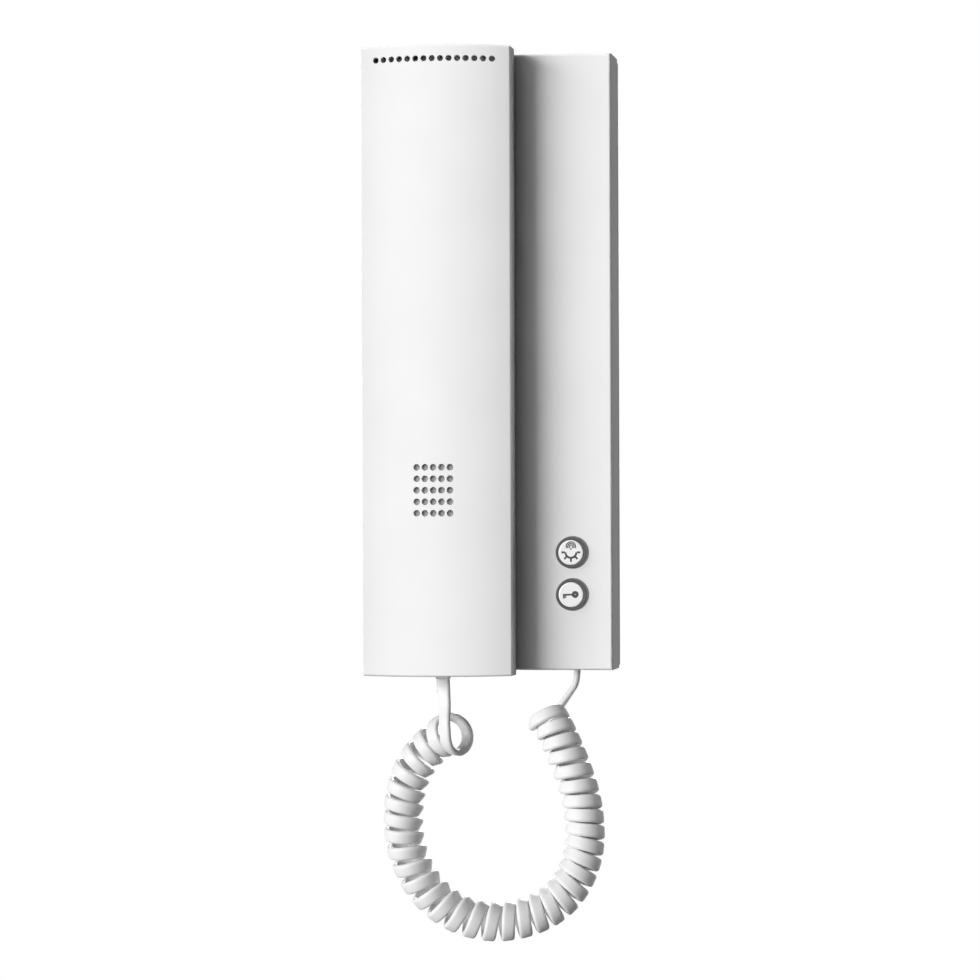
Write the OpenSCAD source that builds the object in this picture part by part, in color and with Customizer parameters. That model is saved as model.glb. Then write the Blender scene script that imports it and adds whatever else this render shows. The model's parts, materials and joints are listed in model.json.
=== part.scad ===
// Wall-mounted audio intercom with a corded handset.
// X runs to the right along the wall, Y runs into the wall, Z runs up.
// The wall is the plane y = 0, and a depth d below is a distance out from the wall.

/* [Base] */
// Width of the base at the wall
base_w = 83.5; // [80:0.1:90]
// Height of the base
base_h = 207.8; // [200:0.1:215]
// Distance from the wall to the front of the base
base_d = 24; // [21.5:0.1:28]
// Taper of each side from the wall to the front
base_draft = 0.2; // [0.2:0.1:1]
// Wall thickness of the base housing
base_wall = 2.2; // [1.8:0.1:2.6]
// Rounding of the front edges of the base
base_edge_r = 0.8; // [0.6:0.1:1.6]

/* [Wall plate] */
// Thickness of the wall plate
plate_t = 3; // [2.5:0.1:4]
// How far the plate stays inside the outline of the housing
plate_inset = 0; // [0:0.1:1]
// Height of the rim that locates the housing
rim_h = 4; // [3:0.1:5]
// Thickness of that rim
rim_t = 1.6; // [1.2:0.1:2]
// Distance between the two wall screws
screw_spacing = 60; // [56:0.5:64]
// Diameter of the wall screw holes
screw_hole_d = 4.2; // [3.5:0.1:5]
// Height of the wall screws above the middle of the base
screw_line_z = 45; // [42:0.5:52]
// Width of the cable window
window_w = 34; // [24:0.5:40]
// Height of the cable window
window_h = 24; // [18:0.5:30]

/* [Circuit board] */
// Thickness of the circuit board
board_t = 1.6; // [1.2:0.1:2]
// Height of the circuit board
board_h = 110; // [104:0.5:116]
// Gap from the housing walls to the edge of the board
board_margin = 2; // [1.5:0.1:3]
// Height of the posts that carry the board
post_h = 6; // [5:0.1:7]
// Diameter of those posts
post_d = 6; // [5:0.1:7]
// Shank diameter of the small screws
screw_d = 2.3; // [2:0.1:2.6]

/* [Handset] */
// Width of the handset
handset_w = 50.1; // [47:0.1:53]
// Length of the handset
handset_l = 211; // [206:0.1:216]
// Distance from the left front edge of the base to the handset
handset_inset = 0.3; // [0:0.1:1]
// How far the handset stands above the top of the base
handset_over = 1.7; // [0.5:0.1:3]
// Depth of the flat sides of the handset
handset_side = 13.2; // [12:0.1:15]
// Height of the crown of the handset front above its sides
handset_crown = 8.4; // [7:0.1:10]
// Wall thickness of the handset shells
handset_wall = 2; // [1.6:0.1:2.4]
// Rounding of the outer edges of the handset
handset_edge_r = 0.8; // [0.4:0.1:1.2]
// Depth of the rear shell up to the parting line
rear_depth = 6.6; // [6:0.1:7.5]
// Width of the parting groove
part_groove = 0.6; // [0.3:0.05:0.8]

/* [Sound holes] */
// Number of holes in the row at the top
row_count = 15; // [11:2:15]
// Diameter of the holes in the row
row_hole_d = 2; // [1.6:0.1:2.2]
// Distance between neighbouring holes, across the handset
hole_pitch = 2.8; // [2.6:0.05:3]
// Distance from the top of the handset to the row
row_drop = 4.8; // [4.2:0.1:7]
// Number of holes across and down in the square field
field_count = 5; // [3:2:5]
// Diameter of the holes in the square field
field_hole_d = 2.2; // [1.8:0.1:2.3]
// Distance between rows of the square field
field_pitch = 3.83; // [3.4:0.01:4.2]
// Distance from the bottom of the handset to the middle of the field
field_rise = 62.2; // [58:0.1:66]

/* [Buttons] */
// Distance from the right front edge of the base to the buttons
button_inset = 13.45; // [12:0.05:15]
// Height of the lower button above the bottom of the base
button_low = 25.5; // [24:0.1:30]
// Distance between the two buttons
button_pitch = 14.15; // [13:0.05:16]
// Diameter of the button caps
cap_d = 8.5; // [7.5:0.1:9]
// How far the caps stand out of their rings
cap_proud = 0.5; // [0.2:0.1:1]
// Travel of the buttons
cap_travel = 1.2; // [0.8:0.1:1.4]
// Outer diameter of the ring at its front
ring_front_d = 10.5; // [10.3:0.1:11]
// Outer diameter of the ring at the housing
ring_root_d = 11.1; // [11:0.1:12]
// How far the ring stands out of the housing
ring_h = 5; // [3.5:0.1:6]

/* [Hooks] */
// Upward slope of the handset hooks
hook_angle = 30; // [25:1:35]
// Width of each hook
hook_w = 12; // [10:0.5:14]
// Height of each hook
hook_t = 4; // [3.5:0.1:5]
// How far each hook reaches into the handset
hook_reach = 6; // [5:0.1:7]
// Distance from the top of the handset to the upper hook
hook_drop = 71.6; // [68:0.1:76]
// Distance from the bottom of the handset to the lower hook
hook_rise = 55.4; // [53:0.1:60]
// Diameter of the hook switch plunger
plunger_d = 5; // [4:0.1:6]
// Distance from the top of the circuit board down to the plunger
plunger_drop = 26.3; // [22.3:0.5:30.3]
// Travel of the plunger
plunger_travel = 4; // [3:0.1:4.5]

/* [Cord] */
// Width of the flat cord
cord_w = 4.5; // [4:0.1:4.6]
// Thickness of the flat cord
cord_t = 2; // [1.7:0.1:2]
// Radius of the curls at the middle of the cord
curl_r = 5.4; // [5:0.1:5.5]
// Lean of the cord on the inside of the bend
curl_lean = 31; // [28:1:33]

/* [Fits] */
// Running clearance of the buttons and the plunger
run_gap = 0.08; // [0.05:0.01:0.1]
// Gap between the handset and the base
handset_gap = 0.3; // [0.3:0.05:0.5]
// Gap round each hook in its slot
hook_clear = 0.4; // [0.3:0.05:0.6]
// Gap between pieces that only locate each other
seat_gap = 0.2; // [0.15:0.01:0.25]

/* [Hidden] */
$fn = 96;

// How far a cutting shape reaches past what it cuts, and how far joined shapes run into each other
over = 1;
sink = 1;

// Outline of the base
half_rear = base_w / 2;
half_front = half_rear - base_draft;
base_top = base_h / 2;
base_bot = -base_h / 2;
housing_d0 = plate_t + seat_gap;
front_in = base_d - base_wall;
cavity_half = half_front - base_wall;
draft_angle = atan(base_draft / (base_d - housing_d0));

// Lugs of the wall plate that hold the top of the housing
plate_corner_r = 1.5;
window_r = 2;
rim_half = cavity_half - seat_gap;
rim_top = base_top - base_wall - seat_gap;
rim_d1 = plate_t + rim_h;
lug_x = 25;
lug_w = 10;
lug_t = 1.6;
lug_out = 1;

// Circuit board and what stands on it
board_half = cavity_half - board_margin;
board_bot = base_bot + base_wall + board_margin;
board_top = board_bot + board_h;
board_d0 = plate_t + post_h;
board_d1 = board_d0 + board_t;
screw_head_d = screw_d * 2;
screw_head_h = screw_d * 0.7;
fit_gap = 0.05;
screw_sink = 1;
housing_head_h = 0.9;
housing_screw_l = 8;
tip_gap = 1;
post_inset = post_d / 2 + 1;
post_x = 12;
post_points = [
  [-board_half + post_inset, board_bot + post_inset], [post_x, board_bot + post_inset],
  [-board_half + post_inset, board_top - post_inset], [board_half - post_inset, board_top - post_inset]
];
block_w = 10;
block_h = 9;
block_rise = 3;
block_gap = 1;
terminal_count = 6;
terminal_pitch = 5;
terminal_h = 9;
terminal_half = 4;
terminal_drop = 7;
terminal_z = board_top - terminal_drop;
terminal_screw_r = 1.75;
terminal_well = 3;
terminal_screw_drop = 0.8;
terminal_slot = 0.6;
terminal_front_chamfer = 2;
terminal_wire_chamfer = 3;
wire_hole = 3;
wire_hole_lift = 1.5;
wire_stop = 1;
chip_at = [8, -40];
chip_s = 12;
chip_h = 2;
chip_lift = 0.3;
chip_pin = 1.4;
chip_pin_w = 0.6;
chip_pins = 8;
chip_pitch = 1.4;
can_points = [[8, -60], [8, -72]];
can_r = 4;
can_h = 9;
can_edge = 0.4;
can_bead = 0.3;
can_bead_z = 1;
choke_at = [24, -20];
choke_r = 6;
choke_h = 7;
choke_flange = 1.2;
choke_waist = 1.4;
choke_slope = 0.4;

// Outline of the handset
handset_half = handset_w / 2;
handset_x = -half_front + handset_inset + handset_half;
handset_top = base_top + handset_over;
handset_bot = handset_top - handset_l;
handset_d0 = base_d + handset_gap;
handset_edge_d = handset_d0 + handset_side;
crown_d = handset_edge_d + handset_crown;
crown_r = (pow(handset_half, 2) + pow(handset_crown, 2)) / (2 * handset_crown);
crown_axis_d = crown_d - crown_r;
part_d = handset_d0 + rear_depth;
floor_d = handset_d0 + handset_wall;
inner_half = handset_half - handset_wall;
inner_top = handset_top - handset_wall;
inner_bot = handset_bot + handset_wall;
lip_gap = 0.1;
lip_t = handset_wall / 2 - lip_gap;
lip_h = 1.8;
ring_wall = 1.2;
ring_rise = 3;

// Buttons
button_x = half_front - button_inset;
door_z = base_bot + button_low;
light_z = door_z + button_pitch;
cap_r = cap_d / 2;
ring_bore_r = cap_r + run_gap;
ring_shank_t = 0.7;
ring_shank_r = ring_bore_r + ring_shank_t;
ring_d1 = base_d + ring_h;
ring_edge = 0.3;
cap_front_d = ring_d1 + cap_proud;
cap_flange_t = 1.2;
cap_flange_reach = 0.4;
cap_flange_r = ring_shank_r + cap_flange_reach;
cap_flange_d1 = front_in - seat_gap;
cap_edge_r = 0.5;
cap_stem_r = 2.4;
dome_h = 3.6;
dome_r = 4.6;
dome_foot = 2;
dome_skin = 0.8;
cap_rear_d = board_d1 + dome_h + fit_gap;

// Hooks, plunger and hook switch
hook_slope = tan(hook_angle);
hook_zs = [handset_top - hook_drop, handset_bot + hook_rise];
plunger_r = plunger_d / 2;
plunger_z = board_top - plunger_drop;
plunger_tip_d = handset_d0 - seat_gap;
plunger_reach = 1.4;
plunger_collar_r = plunger_r + plunger_reach;
plunger_pilot = 2;
plunger_collar_d1 = front_in - plunger_travel - seat_gap;
plunger_collar_t = 1.4;
plunger_collar_d0 = plunger_collar_d1 - plunger_collar_t;
spring_wire = 0.6;
spring_r = plunger_r - spring_wire;
spring_turns = 4;
spring_rings = 8;
spring_d0 = board_d1 + spring_wire / 2 + fit_gap;
spring_d1 = plunger_collar_d0 - spring_wire / 2 - fit_gap;
arm_w = 3;
arm_reach = 9;
switch_w = 9;
switch_l = 10;
switch_drop = 1.4;
switch_pin_r = 1;

// Plugs, jacks and the ends of the cord
jack_s = 11;
jack_l = 14;
plug_w = 7.6;
plug_t = 6.2;
plug_l = 11.5;
plug_depth = 11;
plug_gap = 0.15;
latch_w = 3;
latch_h = 0.9;
latch_l = 8;
latch_t = 0.6;
latch_step = 1.5;
opening_gap = 0.5;
base_jack_inset = 12.65;
base_jack_x = half_front - base_jack_inset;
base_jack_s = front_in - seat_gap - board_d1;
base_jack_d = board_d1 + base_jack_s / 2;
base_mouth_z = base_bot + base_wall + seat_gap;
handset_jack_shift = 1.2;
handset_jack_x = handset_x + handset_jack_shift;
handset_jack_d = floor_d + seat_gap / 2 + jack_s / 2;
handset_mouth_z = inner_bot + seat_gap;
pin_pitch = 1.2;
pin_w = 0.6;
pin_l = 4.5;
sleeve_wall = 0.25;
sleeve_w = cord_w + 2 * sleeve_wall;
sleeve_t = cord_t + 2 * sleeve_wall;
sleeve_r = 0.8;
sleeve_out = 1;
base_tail_z = base_mouth_z + plug_depth - plug_l;
handset_tail_z = handset_bot - sleeve_out;
handset_sleeve = handset_mouth_z + plug_depth - plug_l - handset_tail_z;

// Sound pieces
sounder_x = handset_x;
sounder_drop = 25.9;
sounder_z = base_top - sounder_drop;
sounder_r = 15;
sounder_h = 7;
sounder_magnet_r = 8;
sounder_rim = 1.4;
sounder_rim_h = 5;
sounder_lip = 2;
sounder_dish = 0.8;
slot_pitch = 5;
slot_w = 2;
slot_l = 18;
slot_round = 0.45;
ear_drop = 33;
ear_z = handset_top - ear_drop;
ear_r = 17;
gasket_t = 1;
frame_d0 = floor_d + gasket_t;
mic_rise = 24;
mic_z = handset_bot + mic_rise;
mic_r = 4.9;
mic_l = 6;
mic_edge = 0.4;
mic_lip = 1.5;
boot_t = 1.4;
boot_short = 1;
felt_t = 1.2;
felt_margin = 2.5;
felt_half = hole_pitch * (field_count - 1) / 2 + felt_margin;
field_z = handset_bot + field_rise;
felt_z0 = field_z - field_pitch * (field_count - 1) / 2 - felt_margin;
felt_z1 = field_z + field_pitch * (field_count - 1) / 2 + felt_margin;
felt_rib = 1;
felt_rib_h = 5;
felt_edge_d = crown_axis_d + sqrt(pow(crown_r - handset_wall, 2) - pow(felt_half + felt_rib, 2));
hole_start_d = handset_edge_d - 2 * handset_wall;
ear_cone_r = ear_r - 2;
ear_throat_r = 6;
ear_rim_t = 1.2;
ear_frame_h = 6.4;
ear_magnet_h = 3.2;
cone_h = 3.4;
cone_t = 0.4;
cone_roll = 2;
cone_lift = 0.2;
cone_neck = 1;
ear_magnet_r = 7.5;
ear_seat = 2;
magnet_edge = 0.6;
ear_hole_r = 1;
ear_pitch = 4;
mic_hole_r = 0.8;

// Screws that close the handset
screw_drop = 91.6;
screw_rise = 37.4;
handset_screw_zs = [handset_top - screw_drop, handset_bot + screw_rise];
boss_r = screw_head_d / 2 + seat_gap + ring_wall;
head_seat_d = handset_d0 + screw_head_h + seat_gap;
screw_bite = 5;

// Middle line of the curls, from the handset end round to the base end
curl_route = [
  [-10.2, -28.6, -125.1], [-14.9, -25.2, -125.6], [-20.4, -24, -129.4], [-26, -23.6, -136.2],
  [-29.1, -23.4, -144.2], [-30.1, -23.3, -152], [-29.9, -23.2, -160.1], [-27.8, -23.1, -168.5],
  [-23.6, -23, -176.4], [-17.3, -22.9, -183], [-9.5, -22.8, -187.3], [-0.6, -22.7, -189.2],
  [8.1, -22.6, -188.6], [16, -22.5, -186], [22.6, -22.4, -181.8], [27.5, -22.3, -175.9],
  [30.6, -22.2, -168.9], [32, -22.1, -161.6], [31.8, -22, -154.1], [30.6, -21.9, -146.6],
  [28.2, -21.8, -138.7], [25.1, -21.6, -130.9], [21.8, -20.9, -124], [18.2, -19.4, -118.2]
];
curl_turns = 34.5;
curl_rings = 8;
// The first turn is pulled out, the curls open at both ends, and the last one turns on edge
pull = 1.4;
pull_from = 0.35;
pull_over = 0.75;
flare_start = 1.2;
flare_start_turns = 1.5;
flare_end = 1.2;
edge_turn = 75;
edge_share = 0.25;
curl_flat = 0.6;
small_step = 0.01;

// Ways of the two free ends of the cord between their plugs and the curls
handset_lead_points = [[-14.8, -32, -110.6], [-14.4, -32.4, -115.6]];
base_lead_points = [[25.9, -13.8, -112], [28.2, -15.3, -108.3]];
lead_rings = 7;
lead_flat = 0.75;
lead_side = 0.5;

// Shapes shared by the pieces
module upright(z0, z1) {
  translate([0, 0, z0]) linear_extrude(z1 - z0) mirror([0, 1]) children();
}

module across(x0, x1) {
  translate([x0, 0, 0]) rotate([90, 0, 90]) linear_extrude(x1 - x0) mirror([1, 0]) children();
}

module facing(d0, d1) {
  translate([0, -d0, 0]) rotate([90, 0, 0]) linear_extrude(d1 - d0) children();
}

module block(x0, x1, d0, d1, z0, z1) {
  translate([x0, -d1, z0]) cube([x1 - x0, d1 - d0, z1 - z0]);
}

module peg(x, z, r, d0, d1) {
  translate([x, -d0, z]) rotate([90, 0, 0]) cylinder(h = d1 - d0, r = r);
}

module revolve(x, z, d0) {
  translate([x, -d0, z]) rotate([90, 0, 0]) rotate_extrude() children();
}

module rounded(x0, x1, y0, y1, r) {
  translate([x0 + r, y0]) square([x1 - x0 - 2 * r, y1 - y0]);
  translate([x0, y0 + r]) square([x1 - x0, y1 - y0 - 2 * r]);
  for (x = [x0 + r, x1 - r], y = [y0 + r, y1 - r]) translate([x, y]) circle(r);
}

module pan_screw(x, z, head_d0, length) {
  peg(x, z, screw_head_d / 2, head_d0, head_d0 + screw_head_h);
  peg(x, z, screw_d / 2, head_d0 - length, head_d0);
}

// Housing of the base
module base_outline() {
  r = base_edge_r;
  cx = half_front - r * (1 - sin(draft_angle)) / cos(draft_angle);
  tx = cx + r * cos(draft_angle);
  td = base_d - r + r * sin(draft_angle);
  polygon([
    [-half_rear, housing_d0], [half_rear, housing_d0], [tx, td], [cx, base_d],
    [-cx, base_d], [-tx, td]
  ]);
  for (x = [-cx, cx]) translate([x, base_d - r]) circle(r);
}

module base_side() {
  r = base_edge_r;
  translate([housing_d0, base_bot]) square([base_d - r - housing_d0, base_h]);
  translate([housing_d0, base_bot + r]) square([base_d - housing_d0, base_h - 2 * r]);
  for (z = [base_bot + r, base_top - r]) translate([base_d - r, z]) circle(r);
}

module hook(grow, d0, d1) {
  across(handset_x - hook_w / 2 - grow, handset_x + hook_w / 2 + grow)
    for (z = hook_zs) polygon([
      [d0, z + (d0 - base_d) * hook_slope - hook_t / 2 - grow],
      [d1, z + (d1 - base_d) * hook_slope - hook_t / 2 - grow],
      [d1, z + (d1 - base_d) * hook_slope + hook_t / 2 + grow],
      [d0, z + (d0 - base_d) * hook_slope + hook_t / 2 + grow]
    ]);
}

module base_housing() {
  color("whitesmoke") difference() {
    union() {
      difference() {
        intersection() {
          upright(base_bot, base_top) base_outline();
          across(-half_rear, half_rear) base_side();
        }
        block(-cavity_half, cavity_half, 0, front_in, base_bot + base_wall, base_top - base_wall);
      }
      hook(0, front_in, base_d + hook_reach);
      difference() {
        peg(sounder_x, sounder_z, sounder_r + seat_gap + sounder_rim, front_in - sounder_rim_h,
          base_d - sink);
        peg(sounder_x, sounder_z, sounder_r + seat_gap, 0, front_in);
      }
    }
    for (z = [door_z, light_z]) peg(button_x, z, ring_shank_r + fit_gap, 0, base_d + over);
    peg(handset_x, plunger_z, plunger_r + run_gap, 0, base_d + over);
    for (i = [-2 : 2]) {
      x = sounder_x + i * slot_pitch;
      facing(front_in - over, base_d + over)
        rounded(x - slot_w / 2, x + slot_w / 2, sounder_z - slot_l / 2, sounder_z + slot_l / 2,
          slot_w * slot_round);
    }
    plug_opening(base_jack_x, base_jack_d, plug_t, plug_w, base_bot, base_wall);
    translate([0, -board_d0, base_bot - over]) {
      cylinder(h = base_wall + 2 * over, d = screw_d + 3 * seat_gap);
      cylinder(h = screw_sink + over, d = screw_head_d + 3 * seat_gap);
    }
    lugs(seat_gap);
  }
}

module plug_opening(x, d, w, t, z, wall) {
  half_w = w / 2 + opening_gap;
  half_t = t / 2 + opening_gap;
  block(x - half_w, x + half_w, d - half_t, d + half_t, z - over, z + wall + over);
}

// Wall plate with rim, lugs, posts and the block that takes the housing screw
module lugs(grow) {
  for (s = [-1, 1])
    block(s * lug_x - lug_w / 2 - grow, s * lug_x + lug_w / 2 + grow, rim_d1 - lug_t - grow, rim_d1 + grow,
      rim_top - rim_t, rim_top + lug_out + grow);
}

module wall_plate() {
  px = half_rear - plate_inset;
  pz = base_top - plate_inset;
  color("dimgray") difference() {
    union() {
      facing(0, plate_t) rounded(-px, px, -pz, pz, plate_corner_r);
      difference() {
        block(-rim_half, rim_half, plate_t - sink, rim_d1, -rim_top, rim_top);
        block(-rim_half + rim_t, rim_half - rim_t, 0, rim_d1 + over, -rim_top + rim_t, rim_top - rim_t);
      }
      lugs(0);
      for (p = post_points) peg(p.x, p.y, post_d / 2, plate_t - sink, board_d0);
      block(-block_w / 2, block_w / 2, plate_t - sink, board_d0 + block_rise, -rim_top, -rim_top + block_h);
    }
    for (s = [-1, 1]) peg(s * screw_spacing / 2, screw_line_z, screw_hole_d / 2, -over, plate_t + over);
    facing(-over, plate_t + over)
      rounded(-window_w / 2, window_w / 2, screw_line_z - window_h / 2, screw_line_z + window_h / 2,
        window_r);
    for (p = post_points) peg(p.x, p.y, screw_d / 2 + fit_gap, plate_t, board_d0 + over);
    translate([0, -board_d0, -rim_top - over]) cylinder(h = block_h, d = screw_d + 2 * fit_gap);
  }
}

module housing_screw() {
  color("gray") translate([0, -board_d0, base_bot]) {
    translate([0, 0, screw_sink - housing_head_h]) cylinder(h = housing_head_h, d = screw_head_d);
    translate([0, 0, screw_sink]) cylinder(h = housing_screw_l, d = screw_d);
  }
}

// Circuit board and the parts on it
module main_board() {
  color("darkgreen") difference() {
    block(-board_half, board_half, board_d0, board_d1, board_bot, board_top);
    for (p = post_points) peg(p.x, p.y, screw_d / 2 + seat_gap, board_d0 - over, board_d1 + over);
    block(-block_w / 2 - block_gap, block_w / 2 + block_gap, board_d0 - over, board_d1 + over, base_bot,
      board_bot + block_h);
  }
}

module board_screws() {
  color("gray") for (p = post_points) pan_screw(p.x, p.y, board_d1, board_t + post_h - tip_gap);
}

module terminal_block() {
  half = terminal_count * terminal_pitch / 2;
  top_d = board_d1 + terminal_h;
  color("seagreen") difference() {
    across(-half, half) polygon([
      [board_d1, terminal_z - terminal_half], [top_d - terminal_front_chamfer, terminal_z - terminal_half],
      [top_d, terminal_z - terminal_half / 2], [top_d, terminal_z + terminal_half / 2],
      [top_d - terminal_wire_chamfer, terminal_z + terminal_half], [board_d1, terminal_z + terminal_half]
    ]);
    for (i = [0 : terminal_count - 1]) {
      x = (i - (terminal_count - 1) / 2) * terminal_pitch;
      peg(x, terminal_z, terminal_screw_r + fit_gap, top_d - terminal_well, top_d + over);
      block(x - wire_hole / 2, x + wire_hole / 2, board_d1 + wire_hole_lift,
        board_d1 + wire_hole_lift + wire_hole, terminal_z + wire_stop, terminal_z + terminal_half + over);
    }
  }
}

module terminal_screws() {
  top_d = board_d1 + terminal_h;
  head_d = top_d - terminal_screw_drop;
  color("lightgray") for (i = [0 : terminal_count - 1]) {
    x = (i - (terminal_count - 1) / 2) * terminal_pitch;
    difference() {
      peg(x, terminal_z, terminal_screw_r, top_d - terminal_well, head_d);
      block(x - terminal_screw_r - over, x + terminal_screw_r + over, head_d - terminal_slot, top_d,
        terminal_z - terminal_slot / 2, terminal_z + terminal_slot / 2);
    }
  }
}

module control_chip() {
  h = chip_s / 2;
  reach = h + chip_pin;
  color("dimgray") translate([chip_at.x, 0, chip_at.y]) {
    block(-h, h, board_d1 + chip_lift, board_d1 + chip_h, -h, h);
    for (i = [0 : chip_pins - 1]) {
      z = (i - (chip_pins - 1) / 2) * chip_pitch;
      block(-reach, reach, board_d1, board_d1 + chip_h / 2, z - chip_pin_w / 2, z + chip_pin_w / 2);
    }
  }
}

module capacitors() {
  r = can_r;
  color("slategray") for (p = can_points) revolve(p.x, p.y, board_d1) polygon([
    [0, 0], [r, 0], [r, can_bead_z], [r - can_bead, can_bead_z + can_bead],
    [r - can_bead, can_bead_z + 2 * can_bead], [r, can_bead_z + 3 * can_bead],
    [r, can_h - can_edge], [r - can_edge, can_h], [0, can_h]
  ]);
}

module bus_choke() {
  r = choke_r;
  h = choke_h;
  f = choke_flange;
  waist_r = r - choke_waist;
  color("saddlebrown") revolve(choke_at.x, choke_at.y, board_d1) polygon([
    [0, 0], [r, 0], [r, f], [waist_r, f + choke_slope], [waist_r, h - f - choke_slope], [r, h - f],
    [r, h], [0, h]
  ]);
}

module call_sounder() {
  r = sounder_r;
  h = sounder_h;
  color("dimgray") revolve(sounder_x, sounder_z, front_in - seat_gap - h) polygon([
    [0, 0], [sounder_magnet_r, 0], [sounder_magnet_r, h / 3], [r - sounder_lip, h / 2], [r, h / 2], [r, h],
    [r - sounder_lip, h], [r - 1.5 * sounder_lip, h - sounder_dish], [0, h - 2 * sounder_dish]
  ]);
}

// Modular jack and plug, drawn with the mouth at z = 0 and the plug's width along x
module jack(w) {
  h = jack_s / 2;
  difference() {
    translate([-w / 2, -h, 0]) cube([w, jack_s, jack_l]);
    translate([-plug_w / 2 - plug_gap, -plug_t / 2 - plug_gap, -over])
      cube([plug_w + 2 * plug_gap, plug_t + 2 * plug_gap, plug_depth + over + seat_gap]);
    translate([-latch_w / 2 - seat_gap, -h + latch_t, -over]) cube([latch_w + 2 * seat_gap, h, plug_depth]);
  }
}

module plug(sleeve) {
  color("gainsboro") translate([0, 0, plug_depth]) {
    difference() {
      translate([-plug_w / 2, -plug_t / 2, -plug_l]) cube([plug_w, plug_t, plug_l]);
      for (i = [-1.5 : 1.5]) translate([i * pin_pitch - pin_w / 2, plug_t / 2 - pin_pitch, -pin_l])
        cube([pin_w, plug_t, pin_l + over]);
    }
    translate([-latch_w / 2, -plug_t / 2 - latch_h, 0]) {
      translate([0, 0, -latch_l - latch_step]) cube([latch_w, latch_t, latch_l]);
      translate([0, 0, -2 * latch_step]) cube([latch_w, latch_h + latch_t, latch_step]);
    }
    if (sleeve > 0) translate([0, 0, -plug_l - sleeve]) linear_extrude(sleeve + sink)
      rounded(-sleeve_w / 2, sleeve_w / 2, -sleeve_t / 2, sleeve_t / 2, sleeve_r);
  }
}

module at_base_jack() {
  translate([base_jack_x, -base_jack_d, base_mouth_z]) rotate([0, 0, 90]) children();
}

module at_handset_jack() {
  translate([handset_jack_x, -handset_jack_d, handset_mouth_z]) children();
}

module base_jack() {
  color("black") at_base_jack() jack(base_jack_s);
}

module base_plug() {
  at_base_jack() plug(0);
}

module handset_jack() {
  color("black") at_handset_jack() jack(jack_s);
}

module handset_plug() {
  at_handset_jack() plug(handset_sleeve);
}

// Push buttons: ring, cap and the rubber dome that returns the cap
module button_ring(z) {
  tall = base_wall + ring_h;
  color("dimgray") revolve(button_x, z, front_in) polygon([
    [ring_bore_r, 0], [ring_shank_r, 0], [ring_shank_r, base_wall], [ring_root_d / 2, base_wall],
    [ring_front_d / 2, tall - ring_edge], [ring_front_d / 2 - ring_edge, tall],
    [ring_bore_r + ring_edge, tall], [ring_bore_r, tall - ring_edge]
  ]);
}

module button_cap(z) {
  tall = cap_front_d - cap_rear_d;
  flange_1 = cap_flange_d1 - cap_rear_d;
  flange_0 = flange_1 - cap_flange_t;
  color("white") revolve(button_x, z, cap_rear_d) {
    polygon([
      [0, 0], [cap_stem_r, 0], [cap_stem_r, flange_0], [cap_flange_r, flange_0], [cap_flange_r, flange_1],
      [cap_r, flange_1], [cap_r, tall - cap_edge_r], [cap_r - cap_edge_r, tall], [0, tall]
    ]);
    translate([cap_r - cap_edge_r, tall - cap_edge_r]) circle(cap_edge_r);
  }
}

module button_dome(z) {
  color("slategray") revolve(button_x, z, board_d1) polygon([
    [0, cap_travel + seat_gap], [cap_stem_r - dome_skin, cap_travel + seat_gap], [dome_r - dome_foot, 0],
    [dome_r, 0], [dome_r, dome_skin], [dome_r - dome_foot / 2, dome_skin],
    [cap_stem_r, dome_h - dome_foot / 2], [cap_stem_r, dome_h], [0, dome_h]
  ]);
}

module light_ring() {
  button_ring(light_z);
}

module door_ring() {
  button_ring(door_z);
}

module light_button() {
  button_cap(light_z);
}

module door_button() {
  button_cap(door_z);
}

module light_dome() {
  button_dome(light_z);
}

module door_dome() {
  button_dome(door_z);
}

// Hook switch: plunger, return spring and switch
module hook_plunger() {
  color("white") {
    peg(handset_x, plunger_z, plunger_r, plunger_collar_d0, plunger_tip_d);
    peg(handset_x, plunger_z, plunger_collar_r, plunger_collar_d0, plunger_collar_d1);
    peg(handset_x, plunger_z, spring_r - spring_wire, plunger_collar_d0 - plunger_pilot,
      plunger_collar_d0 + plunger_collar_t / 2);
    block(handset_x, handset_x + arm_reach, plunger_collar_d0, plunger_collar_d1,
      plunger_z - arm_w / 2, plunger_z + arm_w / 2);
  }
}

module hook_switch() {
  x = handset_x + arm_reach - arm_w / 2;
  color("black") {
    block(x - switch_w / 3, x + switch_w * 2 / 3, board_d1, plunger_collar_d0 - switch_drop,
      plunger_z - switch_l / 2, plunger_z + switch_l / 2);
    peg(x, plunger_z, switch_pin_r, board_d1 + sink, plunger_collar_d0 - seat_gap);
  }
}

function spring_point(q) = [
  handset_x + spring_r * cos(360 * q),
  -spring_d0 - (spring_d1 - spring_d0) * q / spring_turns,
  plunger_z + spring_r * sin(360 * q)
];

module hook_spring() {
  n = spring_turns * spring_rings;
  rings = [
    for (k = [0 : n])
      let (q = k / spring_rings, out = [cos(360 * q), 0, sin(360 * q)])
      [for (a = [0 : 60 : 300])
        spring_point(q) + spring_wire / 2 * (cos(a) * out + sin(a) * [0, 1, 0])]
  ];
  color("lightgray") tube(rings);
}

// Closed tube through a list of rings
function tube_faces(n, m) = concat(
  [for (i = [1 : m - 2]) [0, i, i + 1]],
  [for (k = [0 : n - 2], i = [0 : m - 1])
    let (a = k * m + i, b = k * m + (i + 1) % m)
    each [[a, a + m, b + m], [a, b + m, b]]],
  [for (i = [1 : m - 2]) let (e = (n - 1) * m) [e, e + i + 1, e + i]]
);

module tube(rings) {
  polyhedron(points = [for (r = rings) each r], faces = tube_faces(len(rings), len(rings[0])));
}

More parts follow.
